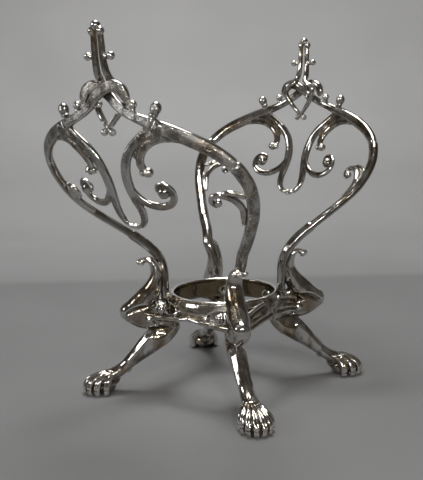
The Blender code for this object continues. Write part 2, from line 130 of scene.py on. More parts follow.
# Sweep paths in a leg's plane: distance from the axis, height, width across the leg, depth in its plane
NECK = (
    (43.0, 67.0, 4.0, 2.2), (41.2, 68.0, 4.8, 2.6), (38.6, 68.3, 5.8, 3.2), (36.4, 66.6, 6.8, 4.2),
    (35.2, 63.0, 7.6, 5.2), (35.2, 58.8, 8.4, 6.6), (37.6, 52.6, 9.8, 9.8), (41.6, 48.0, 10.6, 11.0),
    (45.8, 44.6, 10.6, 10.4), (49.8, 42.6, 9.2, 8.6),
)
THIGH = (
    (50.4, 41.2, 8.0, 7.0), (47.0, 40.0, 9.6, 9.2), (42.0, 38.4, 10.0, 11.0), (36.5, 37.4, 9.6, 10.0),
    (31.5, 36.2, 8.4, 7.6), (28.0, 34.4, 7.2, 6.6),
)
SHANK = (
    (26.9, 33.2, 6.6, 6.8), (29.4, 31.0, 8.0, 9.0), (32.8, 29.0, 8.8, 11.2), (36.8, 27.0, 8.8, 12.0),
    (41.0, 23.5, 8.2, 10.8), (45.0, 19.9, 7.6, 8.8), (48.4, 16.9, 7.2, 7.4), (52.0, 13.6, 7.2, 6.6),
    (55.6, 11.0, 8.0, 6.6), (59.5, 9.0, 9.4, 7.4),
)
TOES = (-104, -72, -42, -14, 14, 42, 72, 104)  # directions round the pad, degrees from straight ahead
TOE = (  # from the ankle to the ground: share of the toe's reach, how far back, height
    (0.30, 9.0, 11.0), (0.46, 6.0, 10.4), (0.66, 3.0, 9.0),
    (0.86, 0.9, 6.8), (0.98, 0, 4.2), (0.98, 0, 1.4),
)
TOE_WIDTHS = (1.8, 2.6, 3.4, 4.2, 4.3, 3.6)
PAD_AT = (64.6, 8.0, 6.7)  # its distance from the axis, and the toes' reach ahead and aside
LEG_BOW = ((6, 0), (20, -1.5), (36, -2.2), (60, -2.2), (70, -0.8))  # height, and bow aside there
SCREW_AT = (33.4, 44.2)  # of the hub screw in the leg's plane
ALONG_LEG = (math.sin(LEG_AZIMUTH), -math.cos(LEG_AZIMUTH), 0)  # outwards from the axis
ACROSS_LEG = (math.cos(LEG_AZIMUTH), math.sin(LEG_AZIMUTH), 0)  # square to the leg's plane

# Beads and knobs: place, and diameters across, inwards and upwards
CREST_BEADS = (  # the C-curl's and the volute's ends, and the seam's swelling
    ((13.9, 118.2, -2.9), (3.4, 3.6, 3.4)),
    ((16.2, 118.3, -2.8), (4.8, 4.6, 4.4)),
    ((21.5, 109.8, -0.6), (5.8, 5.4, 5.6)),
    ((28.0, 137.4, 1.9), (2.8, 2.0, 2.8)),
)
TALL_KNOB = (  # leans outwards, except its foot
    ((24.3, 141.9, 0.4), (4.3, 4.3, 1.3)),
    ((25.4, 144.5, 0.4), (4.9, 4.7, 5.8)),
)
TALL_KNOB_FOOT = ((24.0, 140.9, 0.4), (3.0, 3.0, 3.8))
TALL_KNOB_LEAN = 20  # degrees
SMALL_KNOB = (
    ((14.9, 143.5, 0), (2.2, 2.2, 3.2)),
    ((15.0, 144.1, 0), (3.2, 3.2, 1.0)),
    ((15.2, 146.2, 0), (4.0, 3.9, 3.8)),
)
CREST_CREASE = ((25.6, 141.2, 2.0), (24.2, 138.0, 2.4), (21.6, 134.2, 2.0))
PENDANT = ((1.8, 93.1, 5.2, 0.42), (0, 92.6, 5.2, 0.42), (-1.8, 93.1, 5.2, 0.42))
FINIAL_TIP = ((0, 177.8, 0.2), (4.2, 4.4, 4.4))
FINIAL_BEADS = (  # one side's; the other side mirrors them
    ((2.2, 175.6, 0.3), (3.4, 3.8, 3.8)),
    ((4.0, 165.5, 0), (4.0, 2.1, 2.1)),
    ((6.2, 165.8, 0), (3.6, 3.6, 3.6)),
    ((2.2, 134.9, -3.0), (3.3, 3.4, 3.3)),
    ((5.0, 146.4, -3.6), (3.2, 3.6, 3.2)),
)
LEG_LUMPS = (  # hip and knee
    ((34.4, 0, 43.6), (9.6, 8.6, 9.0)),
    ((49.9, 0, 42.7), (8.4, 8.8, 8.4)),
)
PAW_LUMPS = (  # pad, instep and ankle
    ((64.4, 0, 4.2), (15.0, 12.8, 9.4)),
    ((58.4, 0, 7.4), (7.4, 6.4, 7.6)),
    ((51.4, 0, 11.8), (5.2, 3.4, 4.6)),
)
BUD_HEIGHT = 67.2
BUD_BEADS = ((42.0, -2.3, 2.9), (43.2, 0.2, 3.2), (41.6, 2.8, 3.7))  # distance, aside, diameter
FLANK_MARKS = (  # path in the leg's plane, width, depth; a negative depth is a ridge
    (((30, 46.0), (37, 45.8), (45, 44.0), (50.0, 42.2)), 0.7, 0.6),
    (((33.5, 33.6), (35.6, 36.0), (38.4, 38.0)), 0.5, 0.6),
    (((39.6, 31.6), (36, 31.0), (32.6, 31.4)), 2.4, 0.8),
    (((38.6, 38.0), (39.8, 38.2)), 1.3, -0.9),
    (((38.4, 29.6), (44.6, 23.0), (50.6, 16.6)), 1.0, -0.5),
)
FACET_AT = (41.5, 40.2, 10.5, 5.2)  # flattened oval on the thigh's flank: its middle and its half axes
FACET_ASIDE = 4.0  # how far the flattened flank is from the leg's plane
RAIL = (  # of a panel's strut: degrees round from the leg, radius, height
    (43, 30.8, 41.4), (35, 31.2, 40.6), (26, 31.8, 40.0), (17, 33.2, 39.4), (7, 36.4, 39.2),
)
RAIL_WIDTHS = (1.4, 2.2, 2.6, 3.2, 4.2)


# ---------------------------------------------------------------- paths and outlines

def smooth(points, steps):
    """A Catmull-Rom curve through the points, with this many steps between neighbours."""
    p = np.array(points, float)
    p = np.vstack([p[:1], p, p[-1:]])
    t = np.arange(steps)[:, None] / steps
    spans = [
        b + 0.5 * ((c - a) * t + (2 * a - 5 * b + 4 * c - d) * t**2 + (3 * b - a - 3 * c + d) * t**3)
        for a, b, c, d in zip(p, p[1:], p[2:], p[3:])
    ]
    return np.vstack([*spans, p[-1:]])


def unit(vectors):
    """The vectors, each made one long."""
    return vectors / np.linalg.norm(vectors, axis=-1, keepdims=True)


BOWL = smooth(BOWL_PROFILE, 12)


def bowl_radius(height):
    return np.interp(height, BOWL[:, 0], BOWL[:, 1])


def on_panel(across, height, lift):
    """Places on or off the front of the bowl, and the bowl's outward normals there."""
    radius = bowl_radius(height) + lift
    slope = (bowl_radius(height + 1.5) - bowl_radius(height - 1.5)) / 3
    out = np.sqrt(radius**2 - across**2)
    places = np.stack([across, -out, height], axis=-1)
    return places, unit(np.stack([across / radius, -out / radius, -slope], axis=-1))


def panel_point(across, height, lift):
    return on_panel(np.float64(across), np.float64(height), lift)[0]


TURN = np.linspace(0, 2 * math.pi, 32, endpoint=False)
COS = np.cos(TURN)
SIN = np.sin(TURN)
UPPER = SIN > 0
ROUND = 0.5 * np.column_stack([COS, SIN])


def eased(values, power):
    """A cosine or sine that is fuller (a power under 1) or leaner at its middle."""
    return np.sign(values) * np.abs(values) ** power


# Nearly flat on the outer side with well rounded edges, half round on the inner side
FLAT_BACKED = 0.5 * np.column_stack([
    np.where(UPPER, eased(COS, 0.68), eased(COS, 0.9)), np.where(UPPER, eased(SIN, 0.62), SIN)
])
# A soft ridge along the outer side
KEELED = 0.5 * np.column_stack([
    np.where(UPPER, eased(COS, 1.12), COS), np.where(UPPER, SIN, eased(SIN, 0.85))
])


# ---------------------------------------------------------------- castings

class Casting:
    """Overlapping closed shells, in millimetres, that cast() melts into one skin."""

    def __init__(self):
        self.places = []
        self.faces = []

    def loft(self, rings):
        """A closed shell through rings of points, flat at both ends."""
        rings = np.array(rings)
        count, sides, _ = rings.shape
        first = len(self.places)
        self.places.extend(rings.reshape(-1, 3).tolist())
        for i in range(count - 1):
            for j in range(sides):
                here = first + i * sides
                k = (j + 1) % sides
                self.faces.append((here + j, here + k, here + sides + k, here + sides + j))
        self.faces.append(tuple(range(first, first + sides)))
        self.faces.append(tuple(range(first + (count - 1) * sides, first + count * sides)))

    def sweep(self, places, ups, widths, depths, outline):
        """A bar with round ends along the places, its outline's upper side towards the ups."""
        along = unit(np.gradient(places, axis=0))
        right = unit(np.cross(along, ups))
        up = np.cross(right, along)
        sizes = np.column_stack([widths, depths])
        index = [0] * 4 + list(range(len(places))) + [-1] * 4
        bend = np.radians([80, 60, 40, 20] + [0] * len(places) + [20, 40, 60, 80])
        side = np.array([-1] * 4 + [0] * len(places) + [1] * 4)
        reach = side * np.sin(bend) * sizes[index].min(axis=1) / 2
        centres = places[index] + along[index] * reach[:, None]
        sizes = sizes[index] * np.cos(bend)[:, None]
        spread = right[index][:, None, :] * (sizes[:, :1] * outline[:, 0])[:, :, None]
        rise = up[index][:, None, :] * (sizes[:, 1:] * outline[:, 1])[:, :, None]
        self.loft(centres[:, None, :] + spread + rise)

    def panel_bar(self, path, outline=FLAT_BACKED, width=BAR_WIDTH, depth=BAR_DEPTH):
        """A bar on the bowl, through points of across, height, lift and width factor."""
        points = smooth(path, STEPS)
        places, normals = on_panel(points[:, 0], points[:, 1], points[:, 2])
        self.sweep(places, normals, width * points[:, 3], depth * points[:, 3], outline)

    def limb(self, path, outline=ROUND):
        """A limb in the leg's own plane: X out from the axis, Y aside, Z up."""
        points = smooth(path, STEPS)
        places = np.column_stack([points[:, 0], np.zeros(len(points)), points[:, 1]])
        along = np.gradient(places, axis=0)
        ups = np.cross((0, 1, 0), along)
        ups *= np.where(ups @ (1, 0, 1) < 0, -1, 1)[:, None]
        self.sweep(places, ups, points[:, 2], points[:, 3], outline)

    def ball(self, centre, size, turn=None):
        """A sphere or an egg; size is its three diameters and turn a rotation matrix."""
        rings = []
        for angle in np.radians(np.linspace(-84, 84, 13)):
            level = np.full(len(TURN), math.sin(angle))
            ring = np.column_stack([COS * math.cos(angle), SIN * math.cos(angle), level]) / 2 * size
            rings.append(ring @ (np.eye(3) if turn is None else np.array(turn).T) + centre)
        self.loft(rings)

    def turned(self, profile_at):
        """A ring round the upright axis; profile_at gives its radii and heights at an angle."""
        rings = []
        for angle in np.linspace(0, 2 * math.pi, 241):
            outline = np.array(profile_at(angle), float)
            rings.append(np.column_stack([
                outline[:, 0] * math.cos(angle), outline[:, 0] * math.sin(angle), outline[:, 1]
            ]))
        self.loft(rings)

    def beads(self, beads, turn=None):
        """Balls on a panel."""
        for place, size in beads:
            self.ball(panel_point(*place), size, turn)

    def round_bar(self, places, widths, steps=STEPS):
        """A round bar through these points of the world."""
        points = smooth([(*place, width) for place, width in zip(places, widths)], steps)
        ups = np.array([(0.02, 0.03, 1.0)] * len(points))
        self.sweep(points[:, :3], ups, points[:, 3], points[:, 3], ROUND)

    def disc(self, centre, axis, radius, length, sides=32):
        """A short cylinder along the axis, its rims a little rounded."""
        axis = unit(np.array(axis, float))
        first = unit(np.cross(axis, (0, 0.1, 1)))
        second = np.cross(axis, first)
        turns = np.arange(sides) * 2 * math.pi / sides
        rim = np.outer(np.cos(turns), first) + np.outer(np.sin(turns), second)
        steps = ((-0.5, 0.86), (-0.34, 1), (0.34, 1), (0.5, 0.86))
        self.loft([centre + axis * length * along + rim * radius * share for along, share in steps])

    def cast(self, name, voxel, rounds=6):
        """The melted and relaxed skin."""
        mesh = bpy.data.meshes.new(name)
        mesh.from_pydata(self.places, [], self.faces)
        rough = bpy.data.objects.new(name, mesh)
        bpy.context.scene.collection.objects.link(rough)
        melt = rough.modifiers.new("melt", "REMESH")
        melt.mode = "VOXEL"
        melt.voxel_size = voxel
        graph = bpy.context.evaluated_depsgraph_get()
        skin = bpy.data.meshes.new_from_object(rough.evaluated_get(graph))
        skin.name = name
        bpy.data.objects.remove(rough)
        bpy.data.meshes.remove(mesh)
        return Skin(skin).relax(rounds)


class Skin:
    """A casting's mesh, still in millimetres, while it is worked on."""

    def __init__(self, mesh):
        self.mesh = mesh
        self.places = np.empty(len(mesh.vertices) * 3, np.float32)
        mesh.vertices.foreach_get("co", self.places)
        self.places = self.places.reshape(-1, 3).astype(float)
        self.edges = np.empty(len(mesh.edges) * 2, np.int32)
        mesh.edges.foreach_get("vertices", self.edges)
        self.edges = self.edges.reshape(-1, 2)
        self.degree = np.bincount(self.edges.ravel(), minlength=len(self.places))

    def around(self, values):
        """The mean of each point's neighbours' values."""
        a, b = self.edges.T
        columns = []
        for column in values.T:
            total = np.bincount(a, column[b], len(values)) + np.bincount(b, column[a], len(values))
            columns.append(total / self.degree)
        return np.column_stack(columns)

    def relax(self, rounds):
        """Taubin smoothing, which evens out the voxels and keeps the thickness."""
        for _ in range(rounds):
            for share in (0.6, -0.62):
                self.places += share * (self.around(self.places) - self.places)
        return self

    def soften(self, rounds):
        """Plain smoothing, which rounds edges off."""
        for _ in range(rounds):
            self.places += 0.5 * (self.around(self.places) - self.places)
        return self

    def normals(self):
        self.mesh.vertices.foreach_set("co", self.places.astype(np.float32).ravel())
        self.mesh.update()
        found = np.empty(len(self.places) * 3, np.float32)
        self.mesh.vertex_normals.foreach_get("vector", found)
        return found.reshape(-1, 3).astype(float)

    def distance(self, path, plane=None):
        """How far each point is from a path, in all directions or only in these two axes."""
        path = np.array(path, float)
        axes = [0, 1, 2] if plane is None else list(plane)
        nearest = np.full(len(self.places), np.inf)
        here = self.places[:, axes]
        for start, end in zip(path, path[1:]):
            run = end - start
            share = np.clip((here - start) @ run / (run @ run), 0, 1)
            gap = np.linalg.norm(here - start - share[:, None] * run, axis=1)
            nearest = np.minimum(nearest, gap)
        return nearest

    def engrave(self, path, width, depth, plane=None, where=None):
        """Pushes the surface in along a path, or out with a negative depth."""
        amount = depth * np.exp(-((self.distance(path, plane) / width) ** 2))
        if where is not None:
            amount = amount * where(self.places)
        self.places -= self.normals() * amount[:, None]
        return self

    def finish(self, spin=None, outward=None, shade=0.0):
        """Adds the tarnish and painted-shade masks, turns the mesh to its place and to metres, and
        gives it back.
        """
        normals = self.normals()
        blurred = self.places
        for _ in range(BLUR_ROUNDS):
            blurred = blurred + 0.5 * (self.around(blurred) - blurred)
        hollow = np.einsum("ij,ij->i", blurred - self.places, normals)
        store(self.mesh, "hollow", hollow)
        store(self.mesh, "shade", shade + np.zeros(len(hollow)))
        filed = np.zeros(len(hollow)) if outward is None else outward(self.places, normals)
        store(self.mesh, "outer", filed)
        if spin is not None:
            self.places = self.places @ np.array(spin.to_3x3()).T + np.array(spin.translation)
        self.mesh.vertices.foreach_set("co", (self.places * MM).astype(np.float32).ravel())
        self.mesh.update()
        self.mesh.shade_smooth()
        return self.mesh


def store(mesh, name, values):
    layer = mesh.attributes.new(name, "FLOAT", "POINT")
    layer.data.foreach_set("value", values.astype(np.float32))


def bowl_side(places, normals):
    """1 on a panel's outer face, which was filed flat, and 0 on its sides and inner face."""
    _, out = on_panel(places[:, 0], places[:, 2], 0)
    return np.clip((np.einsum("ij,ij->i", normals, out) - 0.80) / 0.14, 0, 1)


def bar_sides(skin):
    """Painted shade on a panel's side faces, between its two polished ones, standing for the dark
    reflections along the bars' edges.
    """
    _, out = on_panel(skin.places[:, 0], skin.places[:, 2], 0)
    across = np.abs(np.einsum("ij,ij->i", skin.normals(), out))
    return np.clip((0.66 - across) / 0.4, 0, 1) * 0.75


# ---------------------------------------------------------------- the panels

def side_bar():
    """A flat bar, thickened to a round one behind the leg's neck."""
    bar = Casting()
    bar.panel_bar(SIDE_BAR)
    bar.panel_bar(SIDE_BAR[:6], ROUND, 4.6, 5.2)
    skin = bar.cast("side_bar", FINE)
    return skin.finish(outward=bowl_side, shade=bar_sides(skin))


def crest(name, side):
    """Half of a panel's crest, whose knot passes over (1) or under (-1) the other half's."""
    knot = tuple((x, z, KNOT_DEPTH + KNOT_REACH * side * lift, w) for x, z, lift, w in KNOT)
    piece = Casting()
    for path in (CREST_BAR + knot, C_CURL, CURL_WEB, STEM, VOLUTE):
        piece.panel_bar(path)
    piece.beads(CREST_BEADS)
    piece.beads([TALL_KNOB_FOOT, *SMALL_KNOB])
    piece.beads(TALL_KNOB, Matrix.Rotation(math.radians(TALL_KNOB_LEAN), 3, "Y"))
    skin = piece.cast(name, FINE)
    skin.engrave([panel_point(*place) for place in CREST_CREASE], 0.5, 0.7)
    return skin.finish(outward=bowl_side, shade=bar_sides(skin))


def leaf_scroll():
    leaf = Casting()
    for path in (LEAF, LEAF_STRAND):
        leaf.panel_bar(path, ROUND, BAR_WIDTH, BAR_WIDTH)
    leaf.ball(panel_point(40.2, 105.0, -0.8), (3.8, 3.4, 3.8))
    return leaf.cast("leaf_scroll", FINE).finish()


def pendant_link():
    link = Casting()
    link.panel_bar(PENDANT)
    for side in (1, -1):
        link.ball(panel_point(1.2 * side, 93.4, 6.2), (2.4, 2.4, 2.4))
    return link.cast("pendant_link", FINE).finish()


def finial():
    """Two mirrored strips, crossed and beaded at the foot, under one cluster of beads."""
    piece = Casting()
    mirrored = tuple((-x, z, lift, w) for x, z, lift, w in FINIAL_STRIP)
    for strip in (FINIAL_STRIP, mirrored):
        piece.panel_bar(strip, ROUND, BAR_WIDTH * 0.9, BAR_WIDTH * 0.95)
    piece.beads([FINIAL_TIP])
    for side in (1, -1):
        piece.beads([((x * side, z, lift), size) for (x, z, lift), size in FINIAL_BEADS])
    return piece.cast("finial", FINE).finish()


# ---------------------------------------------------------------- the legs

def toe(degrees, reach=1.0, drop=0.0):
    """Points over the paw from the ankle to the ground, in one direction round the pad."""
    turn = math.radians(degrees)
    middle, ahead, aside = PAD_AT
    return [
        (
            middle + ahead * share * reach * math.cos(turn) - back,
            aside * share * reach * math.sin(turn),
            height - drop,
        )
        for share, back, height in TOE
    ]


def paw(piece):
    """Clenched toes all round a pad."""
    for place, size in PAW_LUMPS:
        piece.ball(place, size)
    for degrees in TOES:
        piece.round_bar(toe(degrees), TOE_WIDTHS, 5)


def engrave_toes(skin):
    """Deep lines between the toes, and fine ones along them."""
    for first, second in zip(TOES, TOES[1:]):
        skin.engrave(toe((first + second) / 2, 1.1, -0.8)[1:], 0.75, 0.8)
    for degrees in TOES:
        skin.engrave(toe(degrees, 1.2, -1.6)[2:5], 0.5, 0.5)


def engrave_flanks(skin):
    """Creases and soft ridges on both flanks of the thigh and the shank."""
    for side in (1, -1):
        def flank(places, side=side):
            return np.clip(places[:, 1] * side - 1.0, 0, 1)
        for path, width, depth in FLANK_MARKS:
            skin.engrave(path, width, depth, (0, 2), flank)


def leg():
    piece = Casting()
    piece.limb(NECK)
    piece.limb(THIGH)
    piece.limb(SHANK, KEELED)
    for reach, aside, size in BUD_BEADS:
        piece.ball((reach, aside, BUD_HEIGHT), (size, size, size))
    for place, size in LEG_LUMPS:
        piece.ball(place, size)
    paw(piece)
    skin = piece.cast("leg", COARSE)
    reach, aside, height = skin.places.T  # views, so they follow the skin
    middle, level_at, long, tall = FACET_AT
    oval = ((reach - middle) / long) ** 2 + ((height - level_at) / tall) ** 2
    facet = FACET_ASIDE + 2.6 * np.maximum(oval - 1, 0)
    skin.places[:, 1] = np.where(oval < 2.2, np.sign(aside) * np.minimum(np.abs(aside), facet), aside)
    engrave_flanks(skin)
    skin.soften(4)
    # painted reflection browns the flattened facet for the warm reflection on it; painted shade browns
    # the hock, where thigh and shank meet
    facet_painted_reflection = 0.5 * np.clip(1.5 - oval, 0, 1) * (np.abs(aside) > 2.5)
    hock_painted_shade = 0.6 * np.clip(1 - ((reach - 31) / 5) ** 2 - ((height - 35) / 5) ** 2, 0, 1)
    engrave_toes(skin)
    skin.places[:, 2] = np.maximum(skin.places[:, 2], 0)
    heights, bows = zip(*LEG_BOW)
    skin.places[:, 1] += np.interp(skin.places[:, 2], heights, bows)
    spin = Matrix.Rotation(LEG_AZIMUTH - math.pi / 2, 4, "Z")
    spin.translation = LEG_OFFSET * Vector(ACROSS_LEG)
    return skin.finish(spin, shade=np.maximum(facet_painted_reflection, hock_painted_shade))


# ---------------------------------------------------------------- the hub

def window_at(angle):
    """Half the height of the ring's window at this angle, 0 where the wall is whole."""
    from_x = math.degrees(math.asin(min(1.0, abs(math.sin(angle)))))
    middle, half, tall = WINDOW
    share = (from_x - middle) / half
    return tall * math.sqrt(1 - share**2) if abs(share) < 1 else 0.0


def upper_ring(angle):
    """The rolled rim and the plain band: radii and heights, from the seam's inner edge round."""
    low = RING_SEAM[0] + window_at(angle) * 1.15
    return (
        (RING_BORE, low), (RING_BORE - 0.1, RING_TOP - 2.0), (RING_BORE + 0.2, RING_TOP - 0.6),
        (RING_BORE + 0.8, RING_TOP), (RING_BORE + 1.7, RING_TOP - 0.1),
        (RING_BORE + 2.2, RING_TOP - 0.8), (RING_OUTER, RING_TOP - 1.5),
        (RING_OUTER + 0.9, RING_TOP - 3.2), (RING_OUTER + 1.3, low + 1.2),
        (RING_OUTER + 1.1, low + 0.4), (RING_OUTER + 0.2, low),
    )


def lower_ring(angle):
    """The flared foot: radii and heights, from its bottom inner edge round."""
    high = RING_SEAM[1] - window_at(angle)
    return (
        (RING_BORE + 0.6, RING_BOTTOM + 0.5), (RING_BORE + 0.1, RING_BOTTOM + 1.6), (RING_BORE, high),
        (RING_OUTER + 0.4, high), (RING_OUTER + 1.1, high - 0.5), (RING_OUTER + 0.9, RING_BOTTOM + 2.6),
        (RING_OUTER + 1.5, RING_BOTTOM + 1.7), (RING_OUTER + 1.7, RING_BOTTOM + 0.8),
        (RING_OUTER + 1.0, RING_BOTTOM + 0.1), (RING_OUTER - 0.6, RING_BOTTOM),
    )


def hub_ring():
    """The band and the foot, with four windows between them and painted shade, brown, on the inner
    wall.
    """
    ring = Casting()
    ring.turned(upper_ring)
    ring.turned(lower_ring)
    skin = ring.cast("hub_ring", COARSE)
    # painted shade: the inner wall, facing inwards, is darkened towards the patina brown
    out = unit(skin.places * (1, 1, 0))
    shade = np.clip(-np.einsum("ij,ij->i", skin.normals(), out) * 1.6 - 0.3, 0, 1)
    return skin.finish(shade=shade)


def hub_point(degrees, radius, height):
    """A place this many degrees round from the front right leg, towards +X."""
    angle = LEG_AZIMUTH + math.radians(degrees)
    return (radius * math.sin(angle), -radius * math.cos(angle), height)


def leg_place(distance, height, aside):
    """A place in the front right leg's plane, or aside of it."""
    return np.array(ALONG_LEG) * distance + np.array(ACROSS_LEG) * (LEG_OFFSET + aside) + (0, 0, height)


def side_strut():
    """A smooth web with two grooves and a slot, from the leg's flank along the ring."""
    strut = Casting()
    for share in np.linspace(0, 1, 15):
        root = hub_point(3, 37.0, 37.2 + 7.0 * share)
        bend = hub_point(17 - 3 * share, 33.4 - 1.2 * share, 39.6 + 6.8 * share)
        end = hub_point(44 - 15 * share, 29.8 - 0.6 * share, 40.8 + 7.4 * share)
        strut.round_bar((root, bend, end), (2.4, 2.1, 1.5))
    skin = strut.cast("hub_strut_side", FINE).soften(10)
    for share, width, depth in ((0.16, 0.8, 0.6), (0.80, 0.9, 0.7)):
        groove = [
            hub_point(6, 37.0, 37.6 + 7.0 * share),
            hub_point(17 - 3 * share, 34.4 - 1.2 * share, 39.8 + 6.8 * share),
            hub_point(40 - 15 * share, 30.6 - 0.6 * share, 40.8 + 7.4 * share),
        ]
        skin.engrave(groove, width, depth)
    skin.engrave([hub_point(13, 35.4, 42.6), hub_point(20, 33.8, 43.6)], 1.0, 1.2)
    return skin.finish()


def panel_strut():
    """A rail from the leg's flank along the ring's foot, and a bead at the window's end."""
    strut = Casting()
    rail = [hub_point(-degrees, radius, height) for degrees, radius, height in RAIL]
    strut.round_bar(rail, RAIL_WIDTHS)
    strut.ball(hub_point(-29.5, 30.8, 42.6), (2.6, 2.6, 2.6))
    return strut.cast("hub_strut_panel", FINE).finish()


def screw():
    """A domed head on a washer and a plain shank, its axis across the leg."""
    made = Casting()
    made.disc(leg_place(*SCREW_AT, -7.4), ACROSS_LEG, 1.5, 3.6)
    made.disc(leg_place(*SCREW_AT, -8.5), ACROSS_LEG, 2.7, 0.7)
    made.ball(leg_place(*SCREW_AT, -9.5), (4.6, 4.6, 4.6))
    # tarnish, and painted shade: the screw is darkened further for the shadow it sits in beside the leg
    return made.cast("hub_screw", FINE).finish(shade=0.6)


def nut():
    """A six-sided nut on a washer."""
    made = Casting()
    made.disc(leg_place(*SCREW_AT, -6.6), ACROSS_LEG, 3.1, 1.5, 6)
    made.disc(leg_place(*SCREW_AT, -5.8), ACROSS_LEG, 3.4, 0.5)
    # tarnish, and painted shade: the nut is darkened further for the shadow it sits in beside the leg
    return made.cast("hub_nut", FINE, 2).finish(shade=0.7)


# ---------------------------------------------------------------- materials

WORN_EDGE = (0.90, 0.89, 0.87)
BRIGHT_GRAIN = (0.92, 0.91, 0.89)
PAINTED_SHADE_BROWNING = 0.86  # how far painted shade turns a fully shaded place to the patina's brown
FILED_ROUGHNESS = 0.05  # what the filing adds; polished pieces have no filed faces


def texture_place(tree, scale):
    place = tree.nodes.new("ShaderNodeTexCoord")
    mapping = tree.nodes.new("ShaderNodeMapping")
    mapping.inputs["Scale"].default_value = scale
    tree.links.new(place.outputs["Object"], mapping.inputs["Vector"])
    return mapping.outputs["Vector"]


def noise(tree, scale, detail, stretch=(1, 1, 1)):
    made = tree.nodes.new("ShaderNodeTexNoise")
    made.inputs["Scale"].default_value = scale
    made.inputs["Detail"].default_value = detail
    made.inputs["Roughness"].default_value = 0.55
    tree.links.new(texture_place(tree, stretch), made.inputs["Vector"])
    return made.outputs["Fac"]


def ramp(tree, value, low, high, to_low=0.0, to_high=1.0):
    made = tree.nodes.new("ShaderNodeMapRange")
    made.interpolation_type = "SMOOTHSTEP"
    made.inputs["From Min"].default_value = low
    made.inputs["From Max"].default_value = high
    made.inputs["To Min"].default_value = to_low
    made.inputs["To Max"].default_value = to_high
    tree.links.new(value, made.inputs["Value"])
    return made.outputs["Result"]


def mixed(tree, share, a, b):
    """Colour a turning into colour b; each is a colour or a socket."""
    made = tree.nodes.new("ShaderNodeMix")
    made.data_type = "RGBA"
    tree.links.new(share, made.inputs["Factor"])
    for slot, colour in (("A", a), ("B", b)):
        socket = next(s for s in made.inputs if s.name == slot and s.type == "RGBA")
        if isinstance(colour, tuple):
            socket.default_value = (*colour, 1)
        else:
            tree.links.new(colour, socket)
    return next(s for s in made.outputs if s.type == "RGBA")


def sums(tree, operation, a, b):
    """A clamped sum, product or maximum; each of the two is a number or a socket."""
    made = tree.nodes.new("ShaderNodeMath")
    made.operation = operation
    made.use_clamp = True
    for socket, value in zip(made.inputs, (a, b)):
        if isinstance(value, (int, float)):
            socket.default_value = value
        else:
            tree.links.new(value, socket)
    return made.outputs["Value"]


def attribute(tree, name):
    made = tree.nodes.new("ShaderNodeAttribute")
    made.attribute_name = name
    return made.outputs["Fac"]


def product(tree, a, b):
    return sums(tree, "MULTIPLY", a, b)


def silver(name, bright, warm, patina, gloss, brown):
    """Silver plate with tarnish in its hollows, painted shade from the shade attribute, worn edges, and
    filing lines on flat outer faces.
    """
    made = bpy.data.materials.new(name)
    made.use_nodes = True
    tree = made.node_tree
    shader = tree.nodes["Principled BSDF"]
    shader.inputs["Metallic"].default_value = 1
    filed = attribute(tree, "outer")
    hollows = ramp(tree, attribute(tree, "hollow"), 0.0, 0.075)

    blotches = ramp(tree, noise(tree, 120, 4, (1.6, 1.6, 0.7)), 0.43, 0.60)
    tarnish_and_shade = product(tree, hollows, ramp(tree, noise(tree, 600, 4), 0.25, 0.6, 0.55, 1.0))
    tarnish_and_shade = sums(tree, "MAXIMUM", tarnish_and_shade, product(tree, blotches, brown))
    # painted shade: the shade attribute browns the colour towards the patina
    tarnish_and_shade = sums(tree, "MAXIMUM", tarnish_and_shade, product(tree, attribute(tree, "shade"), PAINTED_SHADE_BROWNING))
    colour = mixed(tree, ramp(tree, noise(tree, 75, 2), 0.4, 0.7), bright, warm)
    colour = mixed(tree, tarnish_and_shade, colour, patina)
    worn = ramp(tree, attribute(tree, "hollow"), -0.12, -0.02, 1, 0)
    colour = mixed(tree, worn, colour, WORN_EDGE)
    grains = ramp(tree, noise(tree, 1500, 2), 0.5, 0.66)
    colour = mixed(tree, product(tree, grains, product(tree, filed, 0.55)), colour, BRIGHT_GRAIN)
    tree.links.new(colour, shader.inputs["Base Color"])

    rough = ramp(tree, noise(tree, 220, 4), 0.35, 0.7, gloss, gloss + 0.09)
    rough = sums(tree, "ADD", rough, product(tree, filed, FILED_ROUGHNESS))
    rough = sums(tree, "ADD", rough, product(tree, hollows, 0.18))
    tree.links.new(rough, shader.inputs["Roughness"])

    lines = ramp(tree, noise(tree, 700, 2, (1, 1, 5)), 0.3, 0.7)
    waves = product(tree, noise(tree, 170, 2), 0.8)
    height = sums(tree, "ADD", waves, product(tree, product(tree, lines, filed), 0.22))
    bump = tree.nodes.new("ShaderNodeBump")
    bump.inputs["Strength"].default_value = 0.4
    bump.inputs["Distance"].default_value = 0.0011
    tree.links.new(height, bump.inputs["Height"])
    tree.links.new(bump.outputs["Normal"], shader.inputs["Normal"])
    return made


def matte(name, darkest):
    """Matt paper in the greys of the mesh's tone attribute, which holds painted light, clouded down to
    a share of them.
    """
    made = bpy.data.materials.new(name)
    made.use_nodes = True
    tree = made.node_tree
    shader = tree.nodes["Principled BSDF"]
    shader.inputs["Roughness"].default_value = 0.85
    shader.inputs["Specular IOR Level"].default_value = 0.2
    clouds = ramp(tree, noise(tree, 5, 2), 0.35, 0.65, darkest, 1.0)
    tree.links.new(sums(tree, "MULTIPLY", attribute(tree, "tone"), clouds), shader.inputs["Base Color"])
    return made


POLISHED = silver(
    "polished_silver", (0.66, 0.65, 0.63), (0.50, 0.41, 0.30), (0.085, 0.06, 0.032), 0.10, 0.58
)
BRUSHED = silver(
    "brushed_silver", (0.58, 0.57, 0.55), (0.42, 0.35, 0.27), (0.07, 0.052, 0.033), 0.12, 0.72
)
TARNISHED = silver(
    "tarnished_silver", (0.62, 0.60, 0.55), (0.44, 0.36, 0.24), (0.125, 0.086, 0.034), 0.12, 0.5
)


# ---------------------------------------------------------------- putting it together

